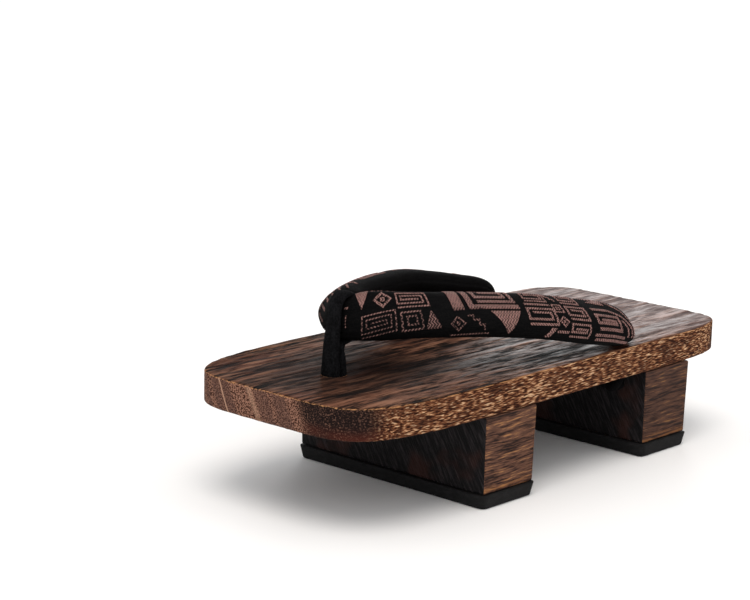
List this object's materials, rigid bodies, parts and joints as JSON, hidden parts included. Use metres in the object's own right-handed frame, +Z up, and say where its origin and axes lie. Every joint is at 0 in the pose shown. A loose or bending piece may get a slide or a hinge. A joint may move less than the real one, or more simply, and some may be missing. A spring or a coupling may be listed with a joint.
{
  "type": "geta sandal",
  "caption": "Wooden clog on crosswise teeth with rubber treads; a padded, patterned fabric thong strap is held at the toe by a loop.",
  "frame": {"origin": "on the floor, under the middle of the board", "axes": "+Y to the toe, +X to the wearer's right, +Z up"},
  "size_m": [0.1196, 0.265, 0.0937],
  "materials": {
    "board_wood": "burnt, brushed and oiled",
    "tooth_wood": "burnt, sawn and oiled",
    "tread_rubber": "matt",
    "strap_fabric": "woven pattern on a soft black ground",
    "loop_fabric": "soft, napped"
  },
  "bodies": {
    "root": {"board": "board_wood", "front_tooth": "tooth_wood", "rear_tooth": "tooth_wood", "front_tread": "tread_rubber", "rear_tread": "tread_rubber", "strap": "strap_fabric", "toe_loop": "loop_fabric"}
  },
  "joints": []
}
